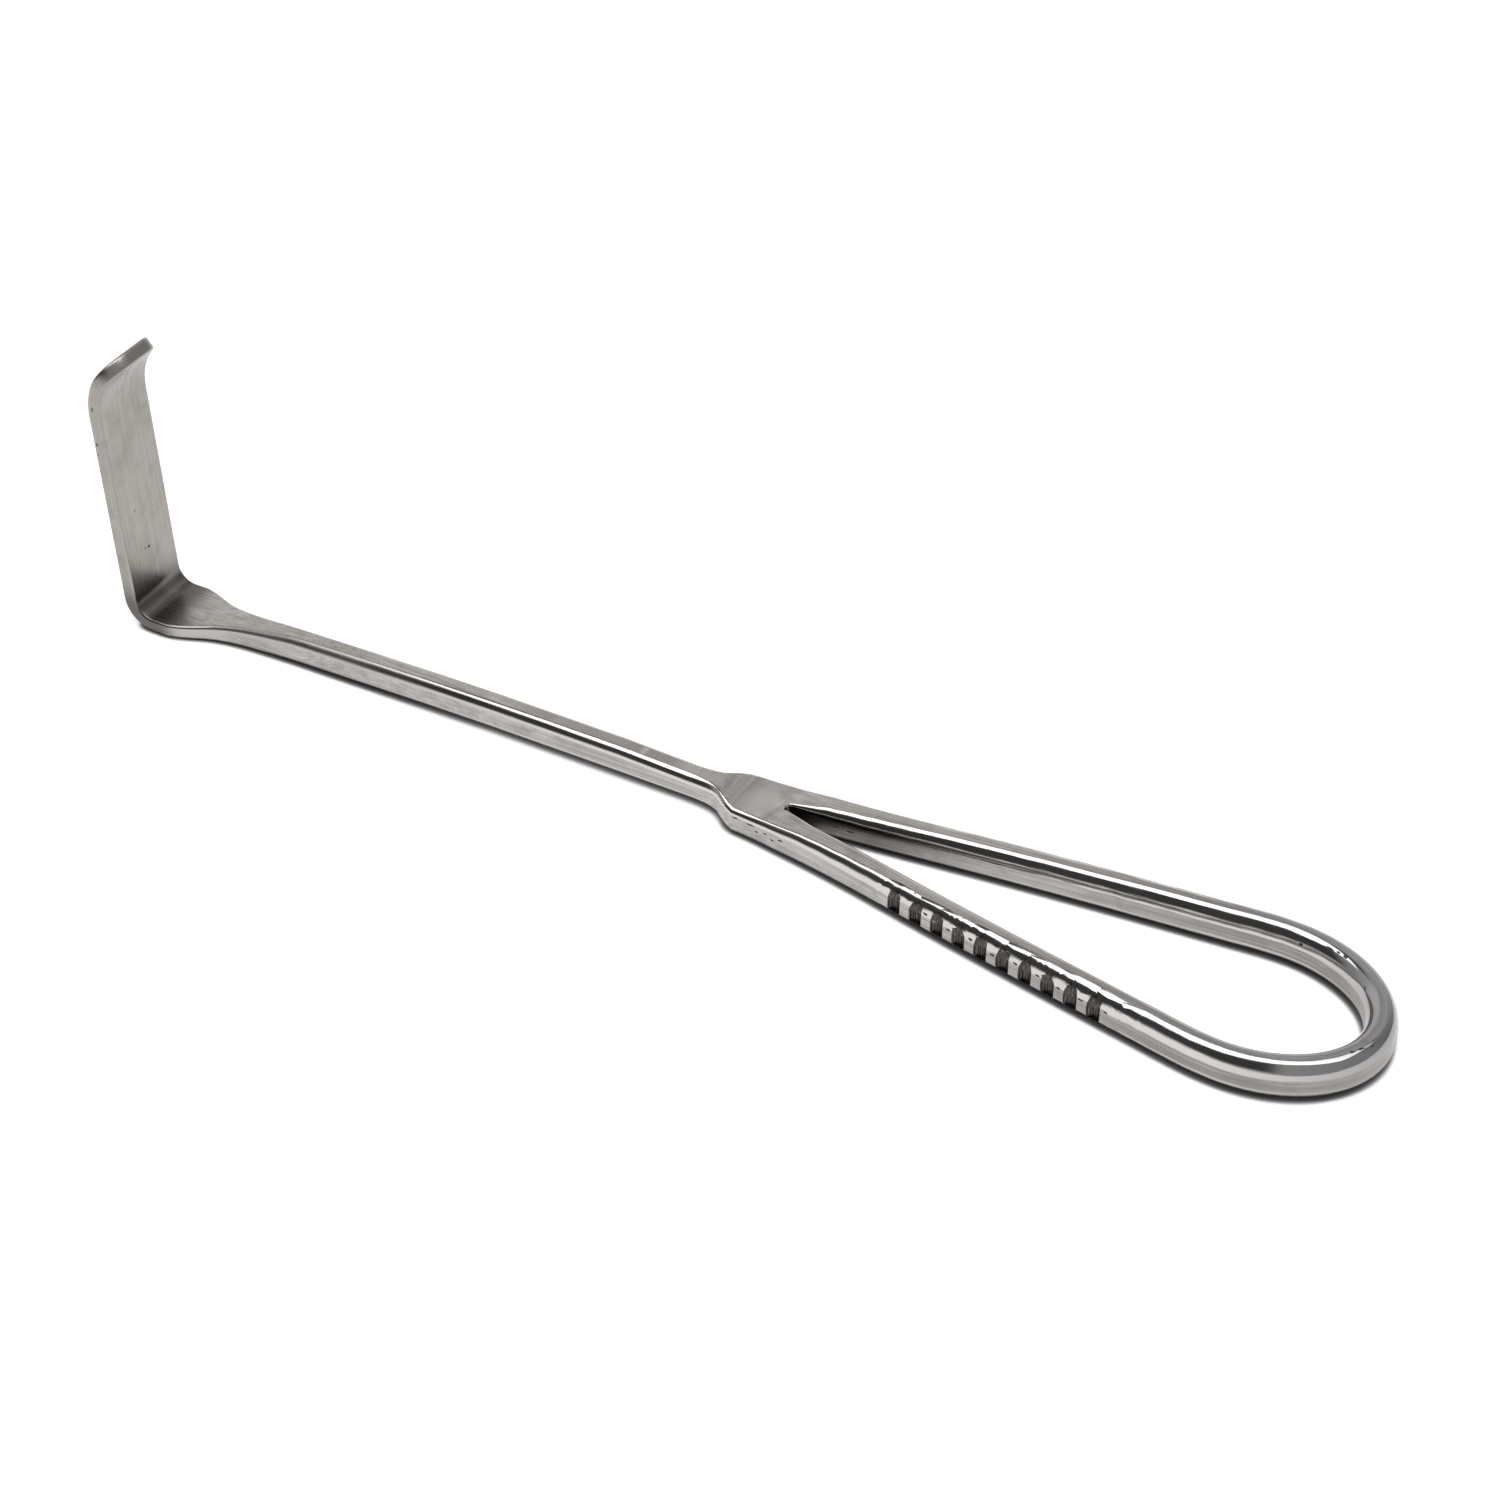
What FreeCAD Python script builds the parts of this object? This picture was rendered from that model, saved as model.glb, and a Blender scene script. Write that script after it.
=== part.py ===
import FreeCAD, Part
import math
import os

# Handheld surgical retractor, forged from one piece of stainless steel.
# Millimetres. X runs from the blade to the finger loop and Z is up. The piece
# lies on its back: the blade stands up, the loop rests flat on the floor.
# The origin is the middle of the underside of the whole piece.

OVERALL_LENGTH = 215.0      # heel to bow, along the shank
LOOP_LENGTH = 103.8         # shoulder of the yoke to bow
LOOP_TURN = -2.8            # degrees the loop is turned from the shank line

# blade
BLADE_WIDTH = 12.0
SHEET_THICKNESS = 2.35      # blade and heel
BLADE_LEAN = 2.4            # degrees away from the shank
BLADE_STRAIGHT_TOP = 39.4   # height where the lip starts
LIP_INSIDE_RADIUS = 10.5
LIP_TURN = 54.0             # degrees the lip curls towards the shank
LIP_NEAR_CORNER = 5.4       # radius in plan, towards -Y
LIP_FAR_CORNER = 2.8
HEEL_INSIDE_RADIUS = 3.0
BLADE_SETBACK = 1.1         # back of the blade, behind the heel datum
BLADE_EDGE = 0.5            # radius of its rounded edges

# neck and shank
NECK_START = 7.0            # end of the full blade width
NECK_LENGTH = 24.0
NECK_KNEE_WIDTH = 5.0       # where the taper turns gentle
SHANK_WIDTH = 4.25
SHANK_HEIGHT = 4.95
SHANK_RISE = 0.86           # gap under the arched shank
SHANK_EDGE = 1.4

# yoke
YOKE_WIDTH = 9.8
YOKE_HEIGHT = 4.5
FLARE_LENGTH = 9.4
YOKE_EDGE = 0.95
CROTCH_SETBACK = 7.7        # shoulder to the rounded end of the finger gap
CROTCH_RADIUS = 0.65
CROTCH_EDGE = 0.5

# loop
LOOP_WIDTH = 32.2           # outside, at the widest place
BOW_LENGTH = 20.0           # widest place to the bow
ARM_HEIGHT = 5.3            # where the arms start
BOW_HEIGHT = 6.5
ARM_WIDTH = 4.5
BOW_WIDTH = 4.8
ARM_EDGE = 1.55
BOW_EDGE = 1.95

# grip notches on the outer side of each arm
NOTCH_COUNT = 10
NOTCH_START = 30.4          # shoulder to the first notch
NOTCH_PITCH = 3.86
NOTCH_WIDTH = 2.3
NOTCH_DEPTH = 0.65
NOTCH_BOTTOM = 1.0
NOTCH_TOP_MARGIN = 1.15

# underside
SOLE_GRIND = 0.02           # taken off level where the piece rests

yoke_x = OVERALL_LENGTH - LOOP_LENGTH
crotch_x = yoke_x + CROTCH_SETBACK
widest_x = OVERALL_LENGTH - BOW_LENGTH
flare_x = yoke_x - FLARE_LENGTH
neck_end = NECK_START + NECK_LENGTH
half_blade = BLADE_WIDTH / 2
half_knee = NECK_KNEE_WIDTH / 2
half_shank = SHANK_WIDTH / 2
half_yoke = YOKE_WIDTH / 2
half_loop = LOOP_WIDTH / 2
vec = FreeCAD.Vector


def between(a, b, share):
    return a + (b - a) * share


def along(x, stations):
    """Smooth value at x through stations of (x, value), with no overshoot."""
    if x <= stations[0][0]:
        return stations[0][1]
    if x >= stations[-1][0]:
        return stations[-1][1]
    slopes = [(b[1] - a[1]) / (b[0] - a[0]) for a, b in zip(stations, stations[1:])]
    tangents = [slopes[0]]
    for left, right in zip(slopes, slopes[1:]):
        same = left * right > 0
        tangents.append(2 * left * right / (left + right) if same else 0.0)
    tangents.append(slopes[-1])
    i = 0
    while x > stations[i + 1][0]:
        i += 1
    (x0, v0), (x1, v1) = stations[i], stations[i + 1]
    step = x1 - x0
    t = (x - x0) / step
    return (v0 * (1 + 2 * t) * (1 - t) ** 2 + v1 * t * t * (3 - 2 * t)
            + step * t * (1 - t) * (tangents[i] * (1 - t) - tangents[i + 1] * t))


def section(corner, across, width, height, first_radius, last_radius):
    """Upright rounded rectangle; it starts at the corner and runs across."""
    def at(a, b):
        return corner + across * a + vec(0, 0, b)

    def arc(centre, radius, start):
        angles = [math.radians(start + turn) for turn in (0, 45, 90)]
        return Part.Arc(*[at(centre[0] + radius * math.cos(a), centre[1] + radius * math.sin(a))
                          for a in angles]).toShape()

    p, q = first_radius, last_radius
    return Part.Wire([
        Part.makeLine(at(p, 0), at(width - q, 0)),
        arc((width - q, q), q, -90),
        Part.makeLine(at(width, q), at(width, height - q)),
        arc((width - q, height - q), q, 0),
        Part.makeLine(at(width - q, height), at(p, height)),
        arc((p, height - p), p, 90),
        Part.makeLine(at(0, height - p), at(0, p)),
        arc((p, p), p, 180),
    ])


def spread(start, end, count):
    """Evenly spaced places from start up to and with end, start left out."""
    return [between(start, end, (i + 1) / count) for i in range(count)]


# blade, lip and heel: one bent strip

lean = math.radians(BLADE_LEAN)
heel_outside = HEEL_INSIDE_RADIUS + SHEET_THICKNESS
heel = (heel_outside - BLADE_SETBACK, heel_outside)
lip_outside = LIP_INSIDE_RADIUS + SHEET_THICKNESS


def from_heel(radius, angle):
    return vec(heel[0] - radius * math.cos(angle), 0, heel[1] + radius * math.sin(angle))


back_foot = from_heel(heel_outside, -lean)
front_foot = from_heel(HEEL_INSIDE_RADIUS, -lean)
rise = BLADE_STRAIGHT_TOP - back_foot.z
upward = vec(-math.tan(lean) * rise, 0, rise)
back_top = back_foot + upward
front_top = front_foot + upward
lip_centre = back_top + vec(math.cos(lean), 0, math.sin(lean)) * lip_outside


def from_lip(radius, degrees):
    a = math.radians(degrees - BLADE_LEAN)
    return lip_centre + vec(-radius * math.cos(a), 0, radius * math.sin(a))


low = math.radians(-45)
strip_edges = [
    Part.makeLine(vec(NECK_START, 0, 0), vec(heel[0], 0, 0)),
    Part.Arc(vec(heel[0], 0, 0), from_heel(heel_outside, low), back_foot).toShape(),
    Part.makeLine(back_foot, back_top),
    Part.Arc(back_top, from_lip(lip_outside, LIP_TURN / 2),
             from_lip(lip_outside, LIP_TURN)).toShape(),
    Part.makeLine(from_lip(lip_outside, LIP_TURN), from_lip(LIP_INSIDE_RADIUS, LIP_TURN)),
    Part.Arc(from_lip(LIP_INSIDE_RADIUS, LIP_TURN), from_lip(LIP_INSIDE_RADIUS, LIP_TURN / 2),
             front_top).toShape(),
    Part.makeLine(front_top, front_foot),
    Part.Arc(front_foot, from_heel(HEEL_INSIDE_RADIUS, low),
             vec(heel[0], 0, SHEET_THICKNESS)).toShape(),
    Part.makeLine(vec(heel[0], 0, SHEET_THICKNESS), vec(NECK_START, 0, SHEET_THICKNESS)),
    Part.makeLine(vec(NECK_START, 0, SHEET_THICKNESS), vec(NECK_START, 0, 0)),
]
strip = Part.Face(Part.Wire(strip_edges))
strip.translate(vec(0, -half_blade, 0))
blade = strip.extrude(vec(0, BLADE_WIDTH, 0))
for side, radius in ((-1, LIP_NEAR_CORNER), (1, LIP_FAR_CORNER)):
    tip = [e for e in blade.Edges if e.BoundBox.ZMin > BLADE_STRAIGHT_TOP
           and type(e.Curve).__name__ == "Line" and e.BoundBox.YLength < 0.01
           and side * e.CenterOfMass.y > 0.9 * half_blade]
    blade = blade.makeFillet(radius, tip)


def is_long(edge):
    """False for the two end edges at the neck, upright seams and seams across."""
    box = edge.BoundBox
    if box.XMin > NECK_START - 0.01:
        return False
    if type(edge.Curve).__name__ != "Line":
        return True
    at_tip = box.ZMin > BLADE_STRAIGHT_TOP
    return at_tip if box.YLength > 0.01 else not at_tip


blade = blade.makeFillet(BLADE_EDGE, [e for e in blade.Edges if is_long(e)])

# neck, shank and flare

half_width = [
    (NECK_START, half_blade),
    (NECK_START + 0.11 * NECK_LENGTH, between(half_blade, half_knee, 0.21)),
    (NECK_START + 0.23 * NECK_LENGTH, between(half_blade, half_knee, 0.56)),
    (NECK_START + 0.37 * NECK_LENGTH, between(half_blade, half_knee, 0.83)),
    (NECK_START + 0.56 * NECK_LENGTH, half_knee),
    (neck_end, half_shank),
    (flare_x, half_shank),
    (flare_x + 0.40 * FLARE_LENGTH, between(half_shank, half_yoke, 0.07)),
    (flare_x + 0.65 * FLARE_LENGTH, between(half_shank, half_yoke, 0.36)),
    (flare_x + 0.82 * FLARE_LENGTH, between(half_shank, half_yoke, 0.78)),
    (yoke_x, half_yoke),
]
shank_length = flare_x - neck_end
underside = [
    (NECK_START, 0.0),
    (between(NECK_START, neck_end, 0.5), 0.0),
    (neck_end, 0.12 * SHANK_RISE),
    (neck_end + 0.20 * shank_length, 0.5 * SHANK_RISE),
    (neck_end + 0.50 * shank_length, SHANK_RISE),
    (neck_end + 0.80 * shank_length, SHANK_RISE),
    (flare_x + 0.60 * FLARE_LENGTH, 0.9 * SHANK_RISE),
    (yoke_x, 0.0),
]
height = [
    (NECK_START, SHEET_THICKNESS),
    (NECK_START + 0.15 * NECK_LENGTH, between(SHEET_THICKNESS, SHANK_HEIGHT, 0.07)),
    (NECK_START + 0.50 * NECK_LENGTH, between(SHEET_THICKNESS, SHANK_HEIGHT, 0.50)),
    (neck_end, between(SHEET_THICKNESS, SHANK_HEIGHT, 0.94)),
    (neck_end + 0.20 * shank_length, SHANK_HEIGHT),
    (neck_end + 0.80 * shank_length, SHANK_HEIGHT),
    (flare_x + 0.35 * FLARE_LENGTH, between(SHANK_HEIGHT, YOKE_HEIGHT, 0.95)),
    (yoke_x, YOKE_HEIGHT),
]
edge_radius = [
    (NECK_START, BLADE_EDGE),
    (neck_end + 6.0, SHANK_EDGE),
    (flare_x, SHANK_EDGE),
    (yoke_x, YOKE_EDGE),
]
places = [NECK_START] + spread(NECK_START, neck_end, 12) + spread(neck_end, flare_x, 6)
places += spread(flare_x, yoke_x, 8)
sections = []
for x in places:
    half = along(x, half_width)
    radius = along(x, edge_radius)
    corner = vec(x, -half, along(x, underside))
    sections.append(section(corner, vec(0, 1, 0), 2 * half, along(x, height), radius, radius))
shank = Part.makeLoft(sections, True, True)

# yoke and loop

loop_top = [
    (yoke_x, YOKE_HEIGHT),
    (yoke_x + 2.0, YOKE_HEIGHT),
    (crotch_x + 6.0, ARM_HEIGHT),
    (OVERALL_LENGTH, BOW_HEIGHT),
]
outer_edge = [
    (yoke_x, YOKE_EDGE),
    (crotch_x, between(YOKE_EDGE, ARM_EDGE, 0.3)),
    (crotch_x + 19.0, ARM_EDGE),
    (widest_x, BOW_EDGE),
]
inner_edge = [
    (crotch_x, 0.75 * CROTCH_EDGE),
    (crotch_x + 4.0, between(CROTCH_EDGE, ARM_EDGE, 0.7)),
    (crotch_x + 19.0, ARM_EDGE),
    (widest_x, BOW_EDGE),
]


def turned(point, degrees=LOOP_TURN):
    """A place turned in plan about the middle of the yoke's shoulder."""
    a = math.radians(degrees)
    x = point.x - yoke_x
    return vec(yoke_x + x * math.cos(a) - point.y * math.sin(a),
               x * math.sin(a) + point.y * math.cos(a), point.z)


def turned_direction(direction, degrees=LOOP_TURN):
    return turned(direction + vec(yoke_x, 0, 0), degrees) - vec(yoke_x, 0, 0)


def bezier(a, b, slope_a, slope_b, pull=0.36):
    """Smooth plan curve from a to b with the given end slopes."""
    reach = pull * (b[0] - a[0])
    curve = Part.BezierCurve()
    curve.setPoles([vec(a[0], a[1], 0), vec(a[0] + reach, a[1] + reach * slope_a, 0),
                    vec(b[0] - reach, b[1] - reach * slope_b, 0), vec(b[0], b[1], 0)])
    return curve


arm_start = (yoke_x, half_yoke)
arm_middle = (between(crotch_x, widest_x, 0.25), 0.503 * half_loop)
arm_end = (between(crotch_x, widest_x, 0.855), 0.929 * half_loop)
arm_curves = [
    bezier(arm_start, arm_middle, 0.06, 0.170),
    bezier(arm_middle, arm_end, 0.170, 0.138),
    bezier(arm_end, (widest_x, half_loop), 0.138, 0.0),
]


def arm_place(x):
    """Point and outward direction of the arm's outer line, before the turn."""
    curve = next(c for c in arm_curves if x <= c.EndPoint.x + 0.001)
    low, high = 0.0, 1.0
    for _ in range(40):
        middle = (low + high) / 2
        if curve.value(middle).x < x:
            low = middle
        else:
            high = middle
    tangent = curve.tangent(low)[0]
    return curve.value(low), vec(-tangent.y, tangent.x, 0)


def bow_place(degrees):
    """The same on the bow, a half ellipse; 90 degrees is the widest place."""
    a = math.radians(degrees)
    point = vec(widest_x + BOW_LENGTH * math.cos(a), half_loop * math.sin(a), 0)
    outward = vec(half_loop * math.cos(a), BOW_LENGTH * math.sin(a), 0)
    return point, outward.normalize()


def loop_section(point, outward, width):
    """Section of the loop's wire, from its outer line inwards."""
    x = point.x
    return section(turned(point), turned_direction(-outward), width, along(x, loop_top),
                   along(x, outer_edge), along(x, inner_edge))


def mirrored(pair):
    point, outward = pair
    return vec(point.x, -point.y, 0), vec(outward.x, -outward.y, 0)


crotch_side = arm_place(crotch_x)[0]
half_wire = [((crotch_side, vec(0, 1, 0)), crotch_side.y - CROTCH_RADIUS)]
arm_places = spread(crotch_x, arm_middle[0], 4) + spread(arm_middle[0], arm_end[0], 3)
for x in arm_places + spread(arm_end[0], widest_x, 2):
    half_wire.append((arm_place(x), ARM_WIDTH))
for degrees in (80, 70, 60, 50, 40, 30, 20, 10):
    half_wire.append((bow_place(degrees), between(BOW_WIDTH, ARM_WIDTH, degrees / 90)))
wire = half_wire + [(bow_place(0), BOW_WIDTH)]
wire += [(mirrored(place), width) for place, width in reversed(half_wire)]
loop = Part.makeLoft([loop_section(*place, width) for place, width in wire], True, True)

sections = []
for x in [yoke_x] + spread(yoke_x, crotch_x, 5):
    degrees = LOOP_TURN * (x - yoke_x) / CROTCH_SETBACK
    half = arm_place(x)[0].y
    radius = along(x, outer_edge)
    sections.append(section(turned(vec(x, half, 0), degrees),
                            turned_direction(vec(0, -1, 0), degrees), 2 * half,
                            along(x, loop_top), radius, radius))
yoke = Part.makeLoft(sections, True, True)
gap_end = Part.makeCylinder(CROTCH_RADIUS, BOW_HEIGHT + 2, turned(vec(crotch_x, 0, -1)))
yoke = yoke.cut(gap_end).Solids[0]
rims = [e for e in yoke.Edges if abs(e.Length - math.pi * CROTCH_RADIUS) < 0.1]
yoke = yoke.makeFillet(CROTCH_EDGE, rims)

body = blade.fuse([shank, yoke, loop]).Solids[0]

# grip notches

notch_radius = (NOTCH_WIDTH ** 2 / 4 + NOTCH_DEPTH ** 2) / (2 * NOTCH_DEPTH)
cutters = []
for i in range(NOTCH_COUNT):
    point, outward = arm_place(yoke_x + NOTCH_START + i * NOTCH_PITCH)
    centre = point + outward * (notch_radius - NOTCH_DEPTH)
    top = along(point.x, loop_top) - NOTCH_TOP_MARGIN
    for y in (centre.y, -centre.y):
        foot = turned(vec(centre.x, y, NOTCH_BOTTOM))
        cutters.append(Part.makeCylinder(notch_radius, top - NOTCH_BOTTOM, foot))
body = body.cut(cutters).Solids[0]

# underside, ground level where the piece rests

sole = Part.makeBox(OVERALL_LENGTH + 20, 2 * LOOP_WIDTH, 5)
sole.translate(vec(-10, -LOOP_WIDTH, SOLE_GRIND - 5))
body = body.cut(sole).Solids[0]

# origin in the middle of the underside

box = body.optimalBoundingBox(False, False)
body.translate(vec(-box.Center.x, -box.Center.y, -box.ZMin))
os.makedirs("parts", exist_ok=True)
body.exportStep("parts/retractor.step")
print("retractor", round(body.Volume, 1), "mm3", len(body.Faces), "faces")
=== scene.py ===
# %% [markdown]
# # A forged retractor in brushed and polished steel
# The object is a hand retractor: a flat blade stands up at one end of a
# slender shank, and an open finger loop with grip notches ends the other.
# It is one forging, so the scene has one steel piece, made from a copy of the
# imported solid, and everything else here is finish, wear, painted shade, light
# and camera.

# %% Start
import math

import bmesh
import bpy
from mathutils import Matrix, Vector, geometry
from mathutils.bvhtree import BVHTree


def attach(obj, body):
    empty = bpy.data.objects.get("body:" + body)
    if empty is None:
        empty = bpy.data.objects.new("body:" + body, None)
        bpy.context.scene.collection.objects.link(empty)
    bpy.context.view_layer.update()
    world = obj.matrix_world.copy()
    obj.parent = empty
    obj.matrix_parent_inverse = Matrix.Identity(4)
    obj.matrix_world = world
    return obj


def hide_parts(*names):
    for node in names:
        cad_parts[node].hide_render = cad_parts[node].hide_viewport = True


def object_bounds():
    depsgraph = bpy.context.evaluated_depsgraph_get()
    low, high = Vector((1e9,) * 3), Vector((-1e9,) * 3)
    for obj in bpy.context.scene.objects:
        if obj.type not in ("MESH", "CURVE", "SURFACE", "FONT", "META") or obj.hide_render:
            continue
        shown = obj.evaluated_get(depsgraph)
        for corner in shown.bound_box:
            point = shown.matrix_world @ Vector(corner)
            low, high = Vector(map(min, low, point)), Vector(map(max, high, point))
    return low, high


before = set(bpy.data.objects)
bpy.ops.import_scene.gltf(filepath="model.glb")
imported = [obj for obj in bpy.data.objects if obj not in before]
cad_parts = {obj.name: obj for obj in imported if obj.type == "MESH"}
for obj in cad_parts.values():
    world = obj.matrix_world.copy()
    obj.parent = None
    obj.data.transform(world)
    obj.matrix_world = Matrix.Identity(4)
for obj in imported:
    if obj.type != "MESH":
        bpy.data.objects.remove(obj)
cad_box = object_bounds()
scene = bpy.context.scene
print("solid from", [round(v, 4) for v in cad_box[0]], "to", [round(v, 4) for v in cad_box[1]])

# %% [markdown]
# ## Camera
# A product photograph of a long thin thing is taken with a long lens from
# far off, so that both ends keep their size. The camera looks down at 39
# degrees, turned 29 degrees from the side of the shank.

# %% Camera
CAMERA_PLACE = Vector((0.175704, -0.306806, 0.29949))
CAMERA_TARGET = Vector((-0.001936, 0.018024, 0.0))
CAMERA_TURN = math.radians(28.67)
SENSOR_WIDTH = 36.0
FOCAL_LENGTH = 73.52

camera_data = bpy.data.cameras.new("camera")
camera_data.sensor_width = SENSOR_WIDTH
camera_data.lens = FOCAL_LENGTH
camera = bpy.data.objects.new("camera", camera_data)
camera.location = CAMERA_PLACE
camera.rotation_mode = "QUATERNION"
camera.rotation_quaternion = (CAMERA_TARGET - CAMERA_PLACE).to_track_quat("-Z", "Y")
scene.collection.objects.link(camera)
scene.camera = camera
scene.view_settings.view_transform = "Standard"
print("camera", round((CAMERA_PLACE - CAMERA_TARGET).length, 3), "m from its target")

# %% [markdown]
# ## Small helpers for node trees
# Materials, the world and Geometry Nodes are all trees of nodes. A helper
# that makes a node, sets its inputs and joins the given sockets keeps each
# tree short enough to read, and a few more name what is done again and again:
# sums, soft steps, colour mixes and new materials.


# %% Node helpers
def node(tree, kind, inputs=None, **settings):
    """A new node; an input is a value or the output socket that feeds it."""
    made = tree.nodes.new(kind)
    for name, value in settings.items():
        setattr(made, name, value)
    for name, value in (inputs or {}).items():
        if isinstance(value, bpy.types.NodeSocket):
            tree.links.new(value, made.inputs[name])
        else:
            made.inputs[name].default_value = value
    return made


def ramp(tree, factor, stops):
    """Colour ramp from (place, grey or colour) stops; returns its colour."""
    made = node(tree, "ShaderNodeValToRGB", {"Fac": factor})
    elements = made.color_ramp.elements
    while len(elements) < len(stops):
        elements.new(0.5)
    for element, (place, colour) in zip(elements, stops):
        element.position = place
        rgb = colour if isinstance(colour, tuple) else (colour,) * 3
        element.color = (*rgb, 1.0)
    return made.outputs["Color"]


def maths(tree, operation, *values):
    """Output of a Math node; a value is a number or a socket."""
    made = tree.nodes.new("ShaderNodeMath")
    made.operation = operation
    for socket, value in zip(made.inputs, values):
        if isinstance(value, bpy.types.NodeSocket):
            tree.links.new(value, socket)
        else:
            socket.default_value = value
    return made.outputs[0]


def times(tree, first, second):
    """Product of two values."""
    return maths(tree, "MULTIPLY", first, second)


def less(tree, first, second):
    """First value less the second."""
    return maths(tree, "SUBTRACT", first, second)


def graded(tree, value, low, high, to_low=0.0, to_high=1.0):
    """Soft step of a value, from to_low at low up to to_high at high."""
    return node(tree, "ShaderNodeMapRange", {"Value": value, "From Min": low, "From Max": high,
                                             "To Min": to_low, "To Max": to_high},
                interpolation_type="SMOOTHSTEP").outputs["Result"]


def mixed(tree, factor, first, second, blend="MIX"):
    """Mix of two colours; each is a colour or a socket, and so is its factor."""
    made = node(tree, "ShaderNodeMix", data_type="RGBA", blend_type=blend)
    for socket, value in ((made.inputs["Factor"], factor), (made.inputs[6], first),
                          (made.inputs[7], second)):
        if isinstance(value, bpy.types.NodeSocket):
            tree.links.new(value, socket)
        else:
            socket.default_value = (*value, 1.0) if isinstance(value, tuple) else value
    return made.outputs[2]


def new_material(name):
    """Material with an empty tree; returns both."""
    made = bpy.data.materials.new(name)
    made.use_nodes = True
    made.node_tree.nodes.clear()
    return made, made.node_tree


# %% [markdown]
# ## Floor
# White paper under the instrument. A plain diffuse sheet keeps the contact
# shadow. A little glow, seen by the camera and by reflections only, lifts the
# open paper to pure white without any more light on the steel. The glow fades
# within two or three millimetres of the steel, where Ambient Occlusion says
# that the paper is hemmed in, so the dark line under each edge stays. There
# the paper's own grey is lowered as well, a painted contact shadow.

# %% Floor
FLOOR_HALF = 12.0
PAPER_COLOUR = 0.80
PAPER_GLOW = 0.50
PAINTED_SHADOW_GREY = 0.22
HEM_DISTANCE = 0.0014
HEMMED_IN = 0.50
IN_THE_OPEN = 0.84
FLOOR_DROP = 0.00002

floor_mesh = bpy.data.meshes.new("floor")
corners = ((-1, -1), (1, -1), (1, 1), (-1, 1))
floor_mesh.from_pydata([(x * FLOOR_HALF, y * FLOOR_HALF, -FLOOR_DROP) for x, y in corners],
                       [], [(0, 1, 2, 3)])
floor = bpy.data.objects.new("floor", floor_mesh)
scene.collection.objects.link(floor)

paper, tree = new_material("white_paper")
light_path = node(tree, "ShaderNodeLightPath")
seen = maths(tree, "MAXIMUM", light_path.outputs["Is Camera Ray"],
             light_path.outputs["Is Glossy Ray"])
seen = maths(tree, "MAXIMUM", seen, light_path.outputs["Is Transmission Ray"])
hem = node(tree, "ShaderNodeAmbientOcclusion", {"Distance": HEM_DISTANCE}, samples=8)
open_paper = graded(tree, hem.outputs["AO"], HEMMED_IN, IN_THE_OPEN)
glow_strength = times(tree, times(tree, seen, PAPER_GLOW), open_paper)
# painted contact shadow: the paper's grey drops to a dark grey where it is hemmed in
paper_grey_with_painted_shadow = node(tree, "ShaderNodeMapRange", {"Value": open_paper, "To Min": PAINTED_SHADOW_GREY,
                                               "To Max": PAPER_COLOUR}).outputs["Result"]
diffuse = node(tree, "ShaderNodeBsdfDiffuse", {"Color": paper_grey_with_painted_shadow})
glow = node(tree, "ShaderNodeEmission", {"Strength": glow_strength})
both = node(tree, "ShaderNodeAddShader")
tree.links.new(diffuse.outputs[0], both.inputs[0])
tree.links.new(glow.outputs[0], both.inputs[1])
node(tree, "ShaderNodeOutputMaterial", {"Surface": both.outputs[0]})
floor_mesh.materials.append(paper)
print("paper grey", PAPER_COLOUR, "with a glow of", PAPER_GLOW)

# %% [markdown]
# ## Room and lamp
# Polished steel shows the room more than its own colour, so the room is
# designed like the set of a product photographer: a broad soft box overhead,
# light grey walls on the far side, and a dark room behind the camera. The
# dark room draws the black lines along the rounded edges, the soft box draws
# the white ones, and the far wall makes the top flats grey. A paler screen to
# the right of the camera keeps the steel readable from behind as well.

# %% Room
TOWARDS_CAMERA = Vector((math.sin(CAMERA_TURN), -math.cos(CAMERA_TURN), 0.0))
FAR_WALL = 0.95
FAR_GAP = 0.16
DARK_ROOM = 0.065
NEAR_SCREEN = 0.50
SCREEN_EDGE = (0.22, 0.50)
ROOM_EDGE = (-0.12, 0.22)
WALL_MIDDLE = Vector((-0.64, 0.77, 0.0))
FAR_HEIGHTS = [(0.0, 0.80), (0.30, FAR_WALL), (0.735, FAR_WALL), (0.80, FAR_GAP), (1.0, FAR_GAP)]
NEAR_HEIGHTS = [(0.0, 0.80), (0.06, 0.60), (0.16, DARK_ROOM), (0.90, DARK_ROOM), (1.0, FAR_GAP)]
WALL_LIGHT = [(0.0, (0.42, 0.42, 0.43)), (0.35, (0.50, 0.50, 0.51)), (0.60, (0.72, 0.72, 0.73)),
              (0.72, (1.02, 1.01, 1.0)), (0.85, (1.12, 1.10, 1.08))]

world = bpy.data.worlds.new("studio")
scene.world = world
world.use_nodes = True
tree = world.node_tree
tree.nodes.clear()
direction = node(tree, "ShaderNodeTexCoord").outputs["Generated"]
height = node(tree, "ShaderNodeSeparateXYZ", {"Vector": direction}).outputs["Z"]
facing = node(tree, "ShaderNodeVectorMath", {0: direction, 1: TOWARDS_CAMERA},
              operation="DOT_PRODUCT").outputs["Value"]
sideways = node(tree, "ShaderNodeVectorMath", {0: direction, 1: WALL_MIDDLE},
                operation="DOT_PRODUCT").outputs["Value"]
level = node(tree, "ShaderNodeVectorMath", {0: direction, 1: (1.0, 1.0, 0.0)},
             operation="MULTIPLY").outputs[0]
level = node(tree, "ShaderNodeVectorMath", {0: level}, operation="NORMALIZE").outputs[0]
rightward = node(tree, "ShaderNodeSeparateXYZ", {"Vector": level}).outputs["X"]
wall = mixed(tree, 1.0, ramp(tree, height, FAR_HEIGHTS), ramp(tree, sideways, WALL_LIGHT),
             "MULTIPLY")
near_room = mixed(tree, graded(tree, rightward, *SCREEN_EDGE), ramp(tree, height, NEAR_HEIGHTS),
                  (NEAR_SCREEN,) * 3)
room = mixed(tree, graded(tree, facing, *ROOM_EDGE), wall, near_room)
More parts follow.
